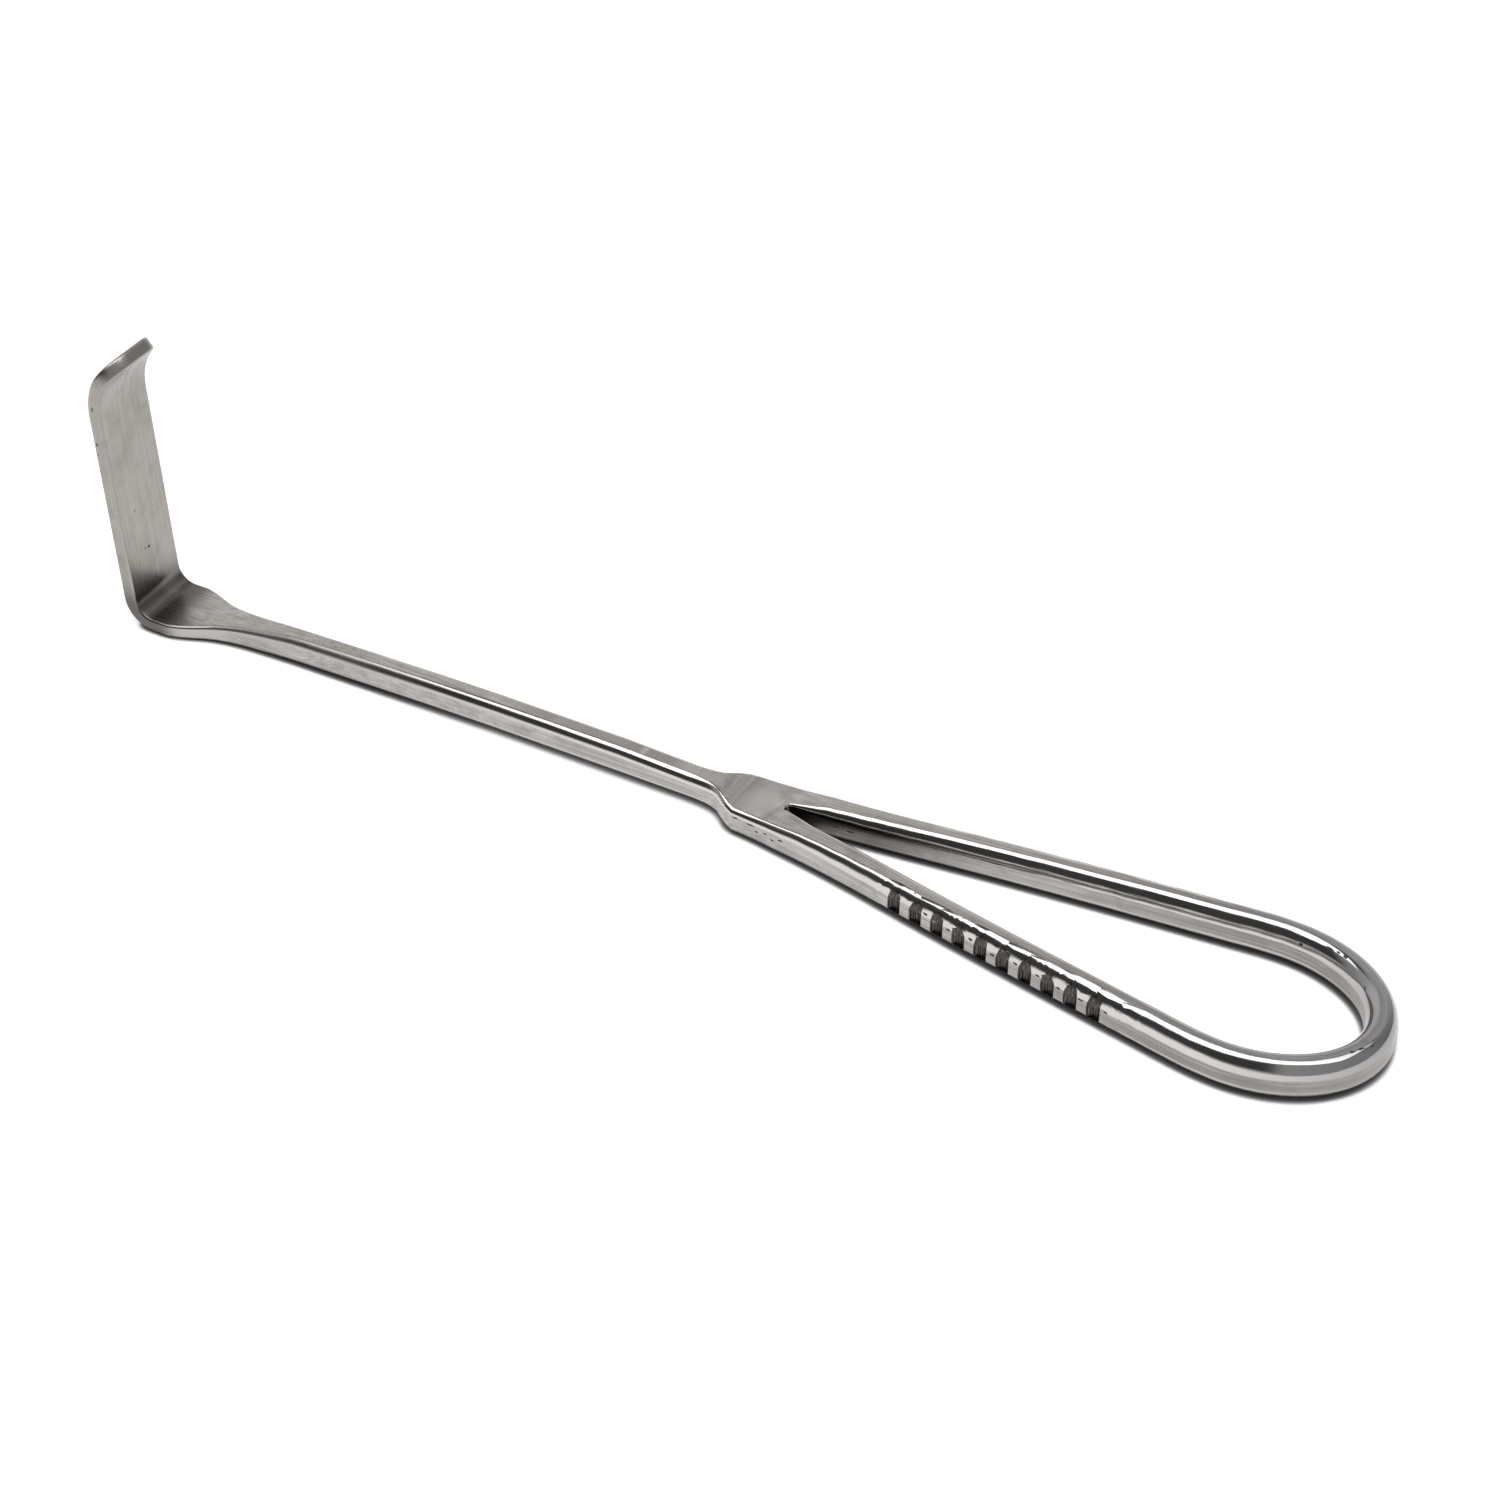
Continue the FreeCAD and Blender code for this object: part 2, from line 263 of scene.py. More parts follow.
background = node(tree, "ShaderNodeBackground", {"Color": room, "Strength": 1.0})
node(tree, "ShaderNodeOutputWorld", {"Surface": background.outputs[0]})
print("room from", DARK_ROOM, "behind the camera to", FAR_WALL, "on the far wall")

# %% Soft box
BOX_WIDTH = 1.30
BOX_DEPTH = 0.74
BOX_HEIGHT = 0.85
BOX_BACK = -0.02
BOX_RADIANCE = 2.6

box_data = bpy.data.lights.new("soft_box", "AREA")
box_data.shape = "RECTANGLE"
box_data.size = BOX_WIDTH
box_data.size_y = BOX_DEPTH
box_data.energy = BOX_RADIANCE * math.pi * BOX_WIDTH * BOX_DEPTH
soft_box = bpy.data.objects.new("soft_box", box_data)
soft_box.location = -TOWARDS_CAMERA * BOX_BACK + Vector((0, 0, BOX_HEIGHT))
soft_box.rotation_euler = (0.0, 0.0, CAMERA_TURN)
scene.collection.objects.link(soft_box)
print("soft box", round(box_data.energy, 2), "W")

# %% [markdown]
# ## Guide lines
# Grain, notches and marks all need to know where they are along the piece.
# These few sizes repeat the plan of the solid: where the blade, the shank
# and the loop start, and the curve of an arm's outer side. The loop is
# turned a little to one side, so a helper turns a plan point with it.

# %% Plan of the piece
MM = 0.001
TINY = 1e-6
MIDDLE_X = 106.166 * MM
MIDDLE_Y = -4.0936 * MM
YOKE_X = 111.2 * MM
CROTCH_X = 118.9 * MM
WIDEST_X = 195.0 * MM
BOW_LENGTH = 20.0 * MM
WIRE_WIDTH = 4.5 * MM
LOOP_TURN = math.radians(-2.8)
ARM_KNOTS = [((111.2, 4.9), 0.06), ((137.925, 8.098), 0.170), ((183.966, 14.957), 0.138),
             ((195.0, 16.1), 0.0)]
PULL = 0.36
POINTS_PER_KNOT = 60
WIRE_STEPS = 40
BOW_STEP = 6


def turned(x, y, z=0.0):
    """A point of the straight plan, turned with the loop and centred."""
    dx = x - YOKE_X
    return Vector((YOKE_X + dx * math.cos(LOOP_TURN) - y * math.sin(LOOP_TURN) - MIDDLE_X,
                   dx * math.sin(LOOP_TURN) + y * math.cos(LOOP_TURN) - MIDDLE_Y, z))


def straightened(point):
    """Length along and signed width from the middle of the straight plan."""
    dx, dy = point.x + MIDDLE_X - YOKE_X, point.y + MIDDLE_Y
    return Vector((YOKE_X + dx * math.cos(LOOP_TURN) + dy * math.sin(LOOP_TURN),
                   dy * math.cos(LOOP_TURN) - dx * math.sin(LOOP_TURN)))


def arm_line():
    """Points along the outer side of the arm on +Y, before the turn."""
    points = []
    for (a, slope_a), (b, slope_b) in zip(ARM_KNOTS, ARM_KNOTS[1:]):
        a, b = Vector(a) * MM, Vector(b) * MM
        reach = PULL * (b.x - a.x)
        first = a + Vector((reach, reach * slope_a))
        second = b - Vector((reach, reach * slope_b))
        points += geometry.interpolate_bezier(a, first, second, b, POINTS_PER_KNOT)[bool(points):]
    return [Vector(p).to_2d() for p in points]


ARM = arm_line()


def arm_place(x):
    """Point and outward direction on the arm's outer side, before the turn."""
    i = next(i for i in range(1, len(ARM)) if ARM[i].x >= x - TINY)
    along = ARM[i] - ARM[i - 1]
    place = ARM[i - 1] + along * ((x - ARM[i - 1].x) / along.x)
    return place, Vector((-along.y, along.x)).normalized()


def wire_middle():
    """Points along the middle of one arm and half of the bow."""
    points = []
    for k in range(WIRE_STEPS + 1):
        place, outward = arm_place(CROTCH_X + k * (WIDEST_X - CROTCH_X) / WIRE_STEPS)
        points.append(place - outward * WIRE_WIDTH / 2)
    for degrees in range(BOW_STEP, 90 + BOW_STEP, BOW_STEP):
        a = math.radians(degrees)
        points.append(Vector((WIDEST_X + (BOW_LENGTH - WIRE_WIDTH / 2) * math.sin(a),
                              (ARM[-1].y - WIRE_WIDTH / 2) * math.cos(a))))
    return points


wire_line = wire_middle()
print("arm line", len(ARM), "points, widest", round(ARM[-1].y / MM, 2), "mm")

# %% [markdown]
# ## The steel piece
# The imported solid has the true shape, but its mesh is loose triangles. A
# copy with its doubled points merged becomes one closed skin that can be
# cut, marked and shaded smoothly.

# %% Copy of the solid
DOUBLE_DISTANCE = 1e-7
THINNEST_FACE = 1e-8


def skin_of(mesh):
    """Editable copy of a mesh's faces."""
    skin = bmesh.new()
    skin.from_mesh(mesh)
    return skin


def put_back(skin, mesh):
    """Writes the faces to the mesh and lets them go."""
    skin.to_mesh(mesh)
    skin.free()


def surface_of(mesh):
    """Search tree of a mesh, for rays and nearest points."""
    skin = skin_of(mesh)
    surface = BVHTree.FromBMesh(skin)
    skin.free()
    return surface


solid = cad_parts["retractor"]
steel_mesh = solid.data.copy()
steel_mesh.name = "forged_steel_retractor"
skin = skin_of(steel_mesh)
bmesh.ops.remove_doubles(skin, verts=skin.verts, dist=DOUBLE_DISTANCE)
bmesh.ops.dissolve_degenerate(skin, edges=skin.edges, dist=THINNEST_FACE)
put_back(skin, steel_mesh)
steel_mesh.materials.clear()
retractor = bpy.data.objects.new("forged_steel_retractor", steel_mesh)
scene.collection.objects.link(retractor)
print("steel skin", len(steel_mesh.polygons), "faces")

# %% [markdown]
# ## A loop without corners
# The solid's loop is made of straight runs between sections, and a polished
# edge shows every corner between two runs. Extra cuts across each run give it
# more points, and each point is moved by as much as the true curve stands off
# the straight run there, which is less than a tenth of a millimetre. The few
# outermost points are held to the box of the solid.

# %% Curve and runs of the loop
KNOT_X = [CROTCH_X] + [place[0] * MM for place, slope in ARM_KNOTS[1:]]
RUNS_PER_KNOT = (4, 3, 2)
RUN_DEGREES = 10
PAST_THE_END = 10
FIRST_STEP = 0.1 * MM


def bow_place(degrees):
    """Point on the outer line of the bow; 90 degrees is the widest place."""
    a = math.radians(degrees)
    return Vector((WIDEST_X + BOW_LENGTH * math.cos(a), ARM[-1].y * math.sin(a)))


def along_line(line, point):
    """Length along the line and signed distance from it."""
    nearest = None
    run = 0.0
    for a, b in zip(line, line[1:]):
        step = b - a
        share = max(0.0, min(1.0, (point - a).dot(step) / step.length_squared))
        away = point - (a + step * share)
        if nearest is None or away.length < nearest[0]:
            side = 1.0 if step.x * away.y - step.y * away.x > 0 else -1.0
            nearest = (away.length, run + share * step.length, side * away.length)
        run += step.length
    return nearest[1], nearest[2]


section_x = [a + (b - a) * k / runs for a, b, runs in zip(KNOT_X, KNOT_X[1:], RUNS_PER_KNOT)
             for k in range(runs)] + [WIDEST_X]
run_line = [arm_place(x)[0] for x in section_x]
run_line += [bow_place(d) for d in range(90 - RUN_DEGREES, -PAST_THE_END - 1, -RUN_DEGREES)]
curve_line = run_line[:1] + [p for p in ARM if p.x > CROTCH_X + FIRST_STEP]
curve_line += [bow_place(d) for d in range(89, -PAST_THE_END - 1, -1)]
print(len(run_line) - 1, "straight runs,", len(curve_line), "points on the curve")

# %% Cuts and the move to the curve
MOST_CUTS = 3
CUT_SPACING = 1.6 * MM
CUT_REACH = 8 * MM
OVER_THE_MIDDLE = 0.5 * MM
SLOPE_STEP = 0.02 * MM
SMALLEST_MOVE = 1e-8


def cut_across(skin, spot, along, side, reach):
    """Cuts the faces of one arm around a point with a plane across its run."""
    near = []
    for face in skin.faces:
        centre = straightened(face.calc_center_median())
        away = (centre - Vector((spot.x, side * spot.y))).length
        if away < reach and centre.y * side > -OVER_THE_MIDDLE:
            near.append(face)
    parts = dict.fromkeys(part for face in near for part in (*face.verts, *face.edges))
    here = turned(spot.x, side * spot.y)
    ahead = turned(spot.x + along.x, side * (spot.y + along.y)) - here
    bmesh.ops.bisect_plane(skin, geom=list(parts) + near, dist=TINY, plane_co=here,
                           plane_no=ahead)


def on_curve(point):
    """Where a point of the straight plan goes, and how far that is."""
    off_curve = along_line(curve_line, point)[1]
    move = along_line(run_line, point)[1] - off_curve
    if abs(move) < SMALLEST_MOVE:
        return point, 0.0
    slope = Vector([along_line(curve_line, point + Vector(step))[1] - off_curve
                    for step in ((SLOPE_STEP, 0), (0, SLOPE_STEP))])
    return point + slope.normalized() * move, abs(move)


skin = skin_of(steel_mesh)
for a, b in zip(run_line[:-1], run_line[1:-1]):
    cuts = min(MOST_CUTS, max(1, round((b - a).length / CUT_SPACING) - 1))
    for k in range(cuts):
        for side in (-1, 1):
            cut_across(skin, a + (b - a) * (k + 1) / (cuts + 1), (b - a).normalized(), side,
                       (b - a).length + CUT_REACH)
bmesh.ops.triangulate(skin, faces=[face for face in skin.faces if len(face.verts) > 3])
most = 0.0
for vertex in skin.verts:
    flat = straightened(vertex.co)
    if flat.x <= CROTCH_X:
        continue
    side = 1.0 if flat.y >= 0 else -1.0
    place, move = on_curve(Vector((flat.x, abs(flat.y))))
    if move:
        vertex.co = turned(place.x, side * place.y, vertex.co.z)
        vertex.co.x = min(vertex.co.x, cad_box[1][0])
        vertex.co.y = max(cad_box[0][1], min(vertex.co.y, cad_box[1][1]))
        most = max(most, move)
put_back(skin, steel_mesh)
print("loop moved by up to", round(most / MM, 3), "mm,", len(steel_mesh.polygons), "faces")

# %% [markdown]
# ## Rolled shoulders
# The buffing wheel took more off the sides than off the top, so the corners
# of the bar are taller than they are wide. The height of the bar is felt with
# rays, from above and from below along its middle line, and each point near
# the top or the bottom is then moved down or up in step with its distance
# from it. Points only move towards the middle of the bar, so it stays inside
# its solid.

# %% Rolled shoulders
# each list: place along the bar in mm, radius in mm or stretch of the shoulder
EDGE_RADIUS = [(7.0, 0.5), (32.6, 1.4), (101.8, 1.4), (111.2, 0.95), (137.9, 1.55),
               (195.0, 1.95)]
UPPER_ROLL = [(18.0, 1.0), (40.0, 1.30), (104.0, 1.30), (112.0, 1.15), (134.0, 1.72)]
LOWER_ROLL = [(18.0, 1.0), (40.0, 1.15), (104.0, 1.15), (135.0, 1.22)]
FELT_FROM, FELT_TO = 8, 212
RAY_HEIGHT = Vector((0, 0, 0.1))


def between(stations, x):
    """Value at x in a list of (x, value), straight in between."""
    if x <= stations[0][0]:
        return stations[0][1]
    for (xa, a), (xb, b) in zip(stations, stations[1:]):
        if x <= xb:
            return a + (b - a) * (x - xa) / (xb - xa)
    return stations[-1][1]


def felt_heights(mesh):
    """Underside and top of the bar at each millimetre of its length."""
    surface = surface_of(mesh)
    under, top = [], []
    for x in range(FELT_FROM, FELT_TO + 1):
        spot = Vector((x * MM - MIDDLE_X, -MIDDLE_Y, 0.0))
        if x * MM > CROTCH_X:
            middle = next(p for p in wire_line if p.x >= x * MM - TINY)
            spot = turned(x * MM, middle.y)
        under.append((float(x), surface.ray_cast(spot - RAY_HEIGHT, RAY_HEIGHT)[0].z))
        top.append((float(x), surface.ray_cast(spot + RAY_HEIGHT, -RAY_HEIGHT)[0].z))
    return under, top


def rolled(z, low, high, radius, upper, lower):
    """New height of a point of the bar's section."""
    if high - z <= radius:
        return high - max(0.0, high - z) * upper
    if z - low <= radius:
        return max(z, low + (z - low) * lower)
    share = (z - low - radius) / (high - low - 2 * radius)
    return low + lower * radius + share * (high - low - (upper + lower) * radius)


under, top = felt_heights(steel_mesh)
most = 0.0
for vertex in steel_mesh.vertices:
    x = (vertex.co.x + MIDDLE_X) / MM
    if x < UPPER_ROLL[0][0]:
        continue
    if x * MM > YOKE_X:
        x = straightened(vertex.co).x / MM
    z = rolled(vertex.co.z, between(under, x), between(top, x), between(EDGE_RADIUS, x) * MM,
               between(UPPER_ROLL, x), between(LOWER_ROLL, x))
    most = max(most, abs(z - vertex.co.z))
    vertex.co.z = z
print("shoulders rolled by up to", round(most / MM, 2), "mm")

# %% [markdown]
# ## Finishes
# One steel, three finishes. The flats are satin: fine scratches run along
# the part, so the noise that draws them is stretched along a path vector kept
# on the mesh. The rounded edges were buffed bright. The notches were filed
# last; their file lines are drawn in near-black tones, painted shade in the
# notches. Colour, roughness and bump all read the same noises,
# because on real steel one scratch changes all three.


# %% Noise on the path
def path_noise(tree, path, stretch, detail, seed=0.0):
    """Noise in path coordinates, in millimetres; stretch is per axis."""
    placed = node(tree, "ShaderNodeMapping", {"Vector": path, "Location": (seed, seed, seed),
                                              "Scale": stretch})
    return node(tree, "ShaderNodeTexNoise", {"Vector": placed.outputs[0], "Scale": 1.0,
                                             "Detail": detail, "Roughness": 0.55}
                ).outputs["Fac"]


def place_noise(tree, scale, detail, roughness=0.5):
    """Noise that is alike in all directions, on the piece's own coordinates."""
    place = node(tree, "ShaderNodeTexCoord").outputs["Object"]
    return node(tree, "ShaderNodeTexNoise", {"Vector": place, "Scale": scale, "Detail": detail,
                                             "Roughness": roughness}).outputs["Fac"]


def attribute(tree, name, output="Fac"):
    """Output that reads a value kept on the mesh."""
    return node(tree, "ShaderNodeAttribute", attribute_name=name).outputs[output]


def metal_shader(tree, colour, roughness, bumped=None, metallic=1.0):
    """Principled shader, joined to the output of its material."""
    shader = node(tree, "ShaderNodeBsdfPrincipled", {
        "Base Color": colour, "Metallic": metallic, "Roughness": roughness})
    if bumped:
        tree.links.new(bumped, shader.inputs["Normal"])
    node(tree, "ShaderNodeOutputMaterial", {"Surface": shader.outputs[0]})


# %% Colours of the steel
SHANK_SATIN = ((0.425, 0.408, 0.392), (0.365, 0.346, 0.328))
# painted shade: the blade's satin is set darker than the shank's, standing in for the darker
# reflection the blade shows
BLADE_SATIN_PAINTED_DARK = ((0.305, 0.288, 0.270), (0.255, 0.240, 0.222))
# painted shade and reflection: the loop's satin is set darker than the shank's, and the next tone
# goes on its upward faces, for how the loop reflects the room
LOOP_SATIN_PAINTED_DARK = ((0.290, 0.272, 0.255), (0.240, 0.224, 0.208))
LOOP_TOP_PAINTED_REFLECTION = (0.285, 0.280, 0.285)
HAIRLINE_DARK = (0.19, 0.178, 0.168)
SCRATCH_LIGHT = (0.56, 0.545, 0.53)
SMUDGE_DARK = (0.20, 0.185, 0.168)
BUFFED_NECK = (0.40, 0.386, 0.372)
BUFFED_SHANK = (0.50, 0.485, 0.47)
# painted shade: buffed edges round the bow are set darker, dimming their highlights
BUFFED_BOW_PAINTED_DIM = (0.27, 0.266, 0.270)
PAINTED_SHADE_TONE = (0.055, 0.050, 0.046)
HAIRLINE_STRETCH = (0.035, 3.2, 3.2)
SCRATCH_STRETCH = (0.018, 7.0, 7.0)
WAVE_STRETCH = (0.12, 0.7, 0.7)
# where one tone gives way to the next along the length, in mm
NECK_TO_SHANK = (45.0, 95.0)
YOKE_TO_BOW = (135.0, 190.0)
ROUND_THE_BOW = (190.0, 225.0)

steel, tree = new_material("satin_and_polished_steel")
path = attribute(tree, "path", "Vector")
blade = attribute(tree, "blade")
cloud = place_noise(tree, 110.0, 4.0)
smudges = place_noise(tree, 320.0, 5.0, 0.62)
hairlines = path_noise(tree, path, HAIRLINE_STRETCH, 4.0)
scratches = path_noise(tree, path, SCRATCH_STRETCH, 2.0, 31.0)
waves = path_noise(tree, path, WAVE_STRETCH, 2.0, 7.0)
axes = node(tree, "ShaderNodeSeparateXYZ", {"Vector": path}).outputs
length, across = axes["X"], axes["Y"]
normal = node(tree, "ShaderNodeTexCoord").outputs["Normal"]
upward = graded(tree, node(tree, "ShaderNodeSeparateXYZ", {"Vector": normal}).outputs["Z"],
                0.2, 0.8)
edge = maths(tree, "ADD", less(tree, attribute(tree, "polish"), times(tree, blade, 0.6)),
             times(tree, less(tree, cloud, 0.5), 0.5))
buffed = graded(tree, edge, 0.30, 0.62)

blotches = graded(tree, cloud, 0.38, 0.62)
flat_colour = mixed(tree, blade, mixed(tree, blotches, *SHANK_SATIN),
                    mixed(tree, blotches, *BLADE_SATIN_PAINTED_DARK))
# painted reflection: upward faces of the loop take their own cooler tone and its sides a darker
# one
loop_colour_painted = mixed(tree, upward, mixed(tree, blotches, *LOOP_SATIN_PAINTED_DARK), LOOP_TOP_PAINTED_REFLECTION)
flat_colour = mixed(tree, graded(tree, length, *YOKE_TO_BOW), flat_colour, loop_colour_painted)
lined = less(tree, 1.0, times(tree, blade, 0.7))
flat_colour = mixed(tree, times(tree, lined, graded(tree, hairlines, 0.40, 0.66, 0.0, 0.50)),
                    flat_colour, HAIRLINE_DARK)
flat_colour = mixed(tree, times(tree, lined, graded(tree, scratches, 0.56, 0.68, 0.0, 0.55)),
                    flat_colour, SCRATCH_LIGHT)
flat_colour = mixed(tree, graded(tree, smudges, 0.50, 0.72, 0.0, 0.40), flat_colour, SMUDGE_DARK)
bright_colour = mixed(tree, graded(tree, length, *NECK_TO_SHANK), BUFFED_NECK, BUFFED_SHANK)
# painted shade: round the bow the buffed edges darken, dimming their highlights
bright_colour = mixed(tree, graded(tree, length, *ROUND_THE_BOW), bright_colour, BUFFED_BOW_PAINTED_DIM)
print("satin from", BLADE_SATIN_PAINTED_DARK[1], "on the blade to", SHANK_SATIN[0], "on the shank")

# %% Painted shade, gloss and grain of the steel
# each pair along the length, in mm, goes from clean steel to painted shade
HEEL_BEND_SHADE = (-5.5, -1.0), (10.0, 5.0)
CROTCH_SHADE = (116.0, 118.0), (158.0, 124.0)
CROTCH_WALL = (2.6, 1.5)
FLAT_ROUGHNESS = (0.26, 0.38)
EDGE_ROUGHNESS = (0.09, 0.15)
DULL_NECK = (66.0, 40.0)
NECK_DULLNESS = 0.17
BUMP_STRENGTH = 0.35
WAVE_DEPTH = 0.06 * MM
GRAIN_DEPTH = 0.02 * MM

# painted shade: the inner bend of the heel and the side walls of the crotch are darkened towards a
# near-black tone
heel_shade = times(tree, *(graded(tree, length, *stretch) for stretch in HEEL_BEND_SHADE))
crotch_wall_shade = times(tree, *(graded(tree, length, *stretch) for stretch in CROTCH_SHADE))
crotch_wall_shade = times(tree, crotch_wall_shade, times(tree, graded(tree, across, *CROTCH_WALL),
                                               less(tree, 1.0, upward)))
painted_shade = maths(tree, "MAXIMUM", times(tree, heel_shade, 0.80), crotch_wall_shade)
painted_shade = times(tree, painted_shade, graded(tree, cloud, 0.25, 0.55, 0.75, 1.0))
colour = mixed(tree, times(tree, painted_shade, 0.85), mixed(tree, buffed, flat_colour, bright_colour),
               PAINTED_SHADE_TONE)
edge_rough = maths(tree, "ADD", graded(tree, cloud, 0.35, 0.7, *EDGE_ROUGHNESS),
                   graded(tree, length, *DULL_NECK, 0.0, NECK_DULLNESS))
rough = node(tree, "ShaderNodeMix", data_type="FLOAT")
tree.links.new(buffed, rough.inputs["Factor"])
tree.links.new(graded(tree, hairlines, 0.3, 0.7, *FLAT_ROUGHNESS), rough.inputs[2])
tree.links.new(edge_rough, rough.inputs[3])
fine = times(tree, hairlines, less(tree, 1.0, times(tree, buffed, 0.85)))
ripple = node(tree, "ShaderNodeBump", {"Height": waves, "Strength": BUMP_STRENGTH,
                                       "Distance": WAVE_DEPTH})
grain = node(tree, "ShaderNodeBump", {"Height": fine, "Strength": BUMP_STRENGTH,
                                      "Distance": GRAIN_DEPTH, "Normal": ripple.outputs[0]})
metal_shader(tree, colour, rough.outputs[0], grain.outputs[0])
print(len(tree.nodes), "nodes in the steel")

# %% Filed notches and dirt in the marks
# file-line grain in near-black tones: painted shade in the notches
FILE_LINES_IN_PAINTED_SHADE = [(0.30, (0.035, 0.032, 0.031)), (0.60, (0.090, 0.083, 0.078)),
              (0.80, (0.30, 0.29, 0.28))]
DIRT = [(0.35, (0.030, 0.027, 0.025)), (0.70, (0.13, 0.12, 0.11))]
UPRIGHT_GRAIN = (4200.0, 4200.0, 500.0)
FILE_DEPTH = 0.05 * MM
FILED_ROUGHNESS = 0.34
DIRT_ROUGHNESS = 0.55

filed_and_painted_shade, tree = new_material("filed_steel_painted_shade")
place = node(tree, "ShaderNodeTexCoord").outputs["Object"]
upright = node(tree, "ShaderNodeMapping", {"Vector": place, "Scale": UPRIGHT_GRAIN})
scored = node(tree, "ShaderNodeTexNoise", {"Vector": upright.outputs[0], "Scale": 1.0,
                                           "Detail": 3.0}).outputs["Fac"]
bump = node(tree, "ShaderNodeBump", {"Height": scored, "Strength": 0.5, "Distance": FILE_DEPTH})
metal_shader(tree, ramp(tree, scored, FILE_LINES_IN_PAINTED_SHADE), FILED_ROUGHNESS, bump.outputs[0])

soiled, tree = new_material("soiled_mark")
metal_shader(tree, ramp(tree, place_noise(tree, 5000.0, 2.0), DIRT), DIRT_ROUGHNESS,
             metallic=0.7)
for finish in (steel, filed_and_painted_shade, soiled):
    retractor.data.materials.append(finish)
print("finishes", [finish.name for finish in retractor.data.materials])

# %% [markdown]
# ## Notch faces
# The ten notches on each arm are round cuts in the solid. Any face nearer
# to the axis of such a cut than its radius lies in the notch, so that simple
# test hands those faces to the filed finish, whose near-black colour is
# painted shade in the notch.

# %% Notch axes
NOTCH_COUNT = 10
NOTCH_START = 30.4 * MM
NOTCH_PITCH = 3.86 * MM
NOTCH_WIDTH = 2.3 * MM
NOTCH_DEPTH = 0.65 * MM
NOTCH_BOTTOM = 1.0 * MM
NOTCH_RADIUS = (NOTCH_WIDTH ** 2 / 4 + NOTCH_DEPTH ** 2) / (2 * NOTCH_DEPTH)
OFF_THE_WALL = 0.03 * MM
OFF_THE_BOTTOM = 0.02 * MM
FILED_SLOT = 1


def on_arm(x, out, side, z):
    """Place out from the arm's outer side, and the outward direction there."""
    place, outward = arm_place(x)
    spot = place + outward * out
    spot = turned(spot.x, side * spot.y, z)
    foot = turned(place.x, side * place.y, z)
    return spot, ((spot - foot) * (1 if out > 0 else -1)).normalized()


notches = []
for side in (-1, 1):
    for i in range(NOTCH_COUNT):
        x = YOKE_X + NOTCH_START + i * NOTCH_PITCH
        notches.append(on_arm(x, NOTCH_RADIUS - NOTCH_DEPTH, side, NOTCH_BOTTOM))
in_notch = 0
for face in retractor.data.polygons:
    centre = face.center
    near = min((centre - axis).to_2d().length for axis, outward in notches)
    if near < NOTCH_RADIUS + OFF_THE_WALL and centre.z > NOTCH_BOTTOM - OFF_THE_BOTTOM:
        face.material_index = FILED_SLOT
        in_notch += 1
print(len(notches), "notches,", in_notch, "faces in them")

# %% [markdown]
# ## File lines in the notches
# Each notch was filed by hand, and the file left upright lines in it. Twenty
# guide points stand on the axes of the notches. Geometry Nodes copy each point
# along the wall of its notch and put a thin rod on every copy, a little out of
# line and of its own length. All the rods are then cut from the steel at once.

# %% Geometry Nodes helpers
def keep(mesh, name, kind, domain, values):
    """Stores a list of numbers, or of vectors in one flat list, on the mesh."""
    layer = mesh.attributes.new(name, kind, domain)
    layer.data.foreach_set("vector" if kind == "FLOAT_VECTOR" else "value", values)


def new_group(name, sizes):
    """Geometry Nodes group with named inputs; returns it with both end nodes."""
    group = bpy.data.node_groups.new(name, "GeometryNodeTree")
    group.interface.new_socket("Geometry", in_out="INPUT", socket_type="NodeSocketGeometry")
    for title, kind in sizes:
        group.interface.new_socket(title, in_out="INPUT", socket_type="NodeSocket" + kind)
    group.interface.new_socket("Geometry", in_out="OUTPUT", socket_type="NodeSocketGeometry")
    return group, group.nodes.new("NodeGroupInput").outputs, group.nodes.new("NodeGroupOutput")


def guide_points(name, places, directions):
    """Mesh of loose points that carry named directions."""
    mesh = bpy.data.meshes.new(name)
    mesh.from_pydata(places, [], [])
    for title, vectors in directions.items():
        keep(mesh, title, "FLOAT_VECTOR", "POINT", [n for v in vectors for n in v])
    made = bpy.data.objects.new(name, mesh)
    scene.collection.objects.link(made)
    return made


def end_group(group, instances, finish, group_end):
    """Makes the instances real, gives them their finish and ends the group."""
    real = node(group, "GeometryNodeRealizeInstances", {"Geometry": instances})
    dressed = node(group, "GeometryNodeSetMaterial",
                   {"Geometry": real.outputs[0], "Material": finish})
    group.links.new(dressed.outputs[0], group_end.inputs[0])


def chance(group, low, high, seed):
    """Random number or vector between low and high, another for each element."""
    kind, first, out = ("FLOAT_VECTOR", 0, 0) if isinstance(low, tuple) else ("FLOAT", 2, 1)
    made = node(group, "FunctionNodeRandomValue", {"Seed": seed}, data_type=kind)
    made.inputs[first].default_value = low
    made.inputs[first + 1].default_value = high
    return made.outputs[out]


def carried(group, name):
    """Direction that a guide point carries."""
    return node(group, "GeometryNodeInputNamedAttribute", {"Name": name},
                data_type="FLOAT_VECTOR").outputs["Attribute"]


def plain_mesh(piece):
    """Mesh of a piece as its modifiers leave it."""
    bpy.context.view_layer.update()
    evaluated = piece.evaluated_get(bpy.context.evaluated_depsgraph_get())
    return bpy.data.meshes.new_from_object(evaluated)


def grown(guide, group, values):
    """Runs the group on the guide with the given sizes and keeps a plain mesh."""
    modifier = guide.modifiers.new(group.name, "NODES")
    modifier.node_group = group
    sockets = {item.name: item.identifier for item in group.interface.items_tree
               if item.in_out == "INPUT"}
    for title, value in values.items():
        modifier[sockets[title]] = value
    mesh = plain_mesh(guide)
    guide.modifiers.remove(modifier)
    guide.data = mesh
    return len(mesh.polygons)


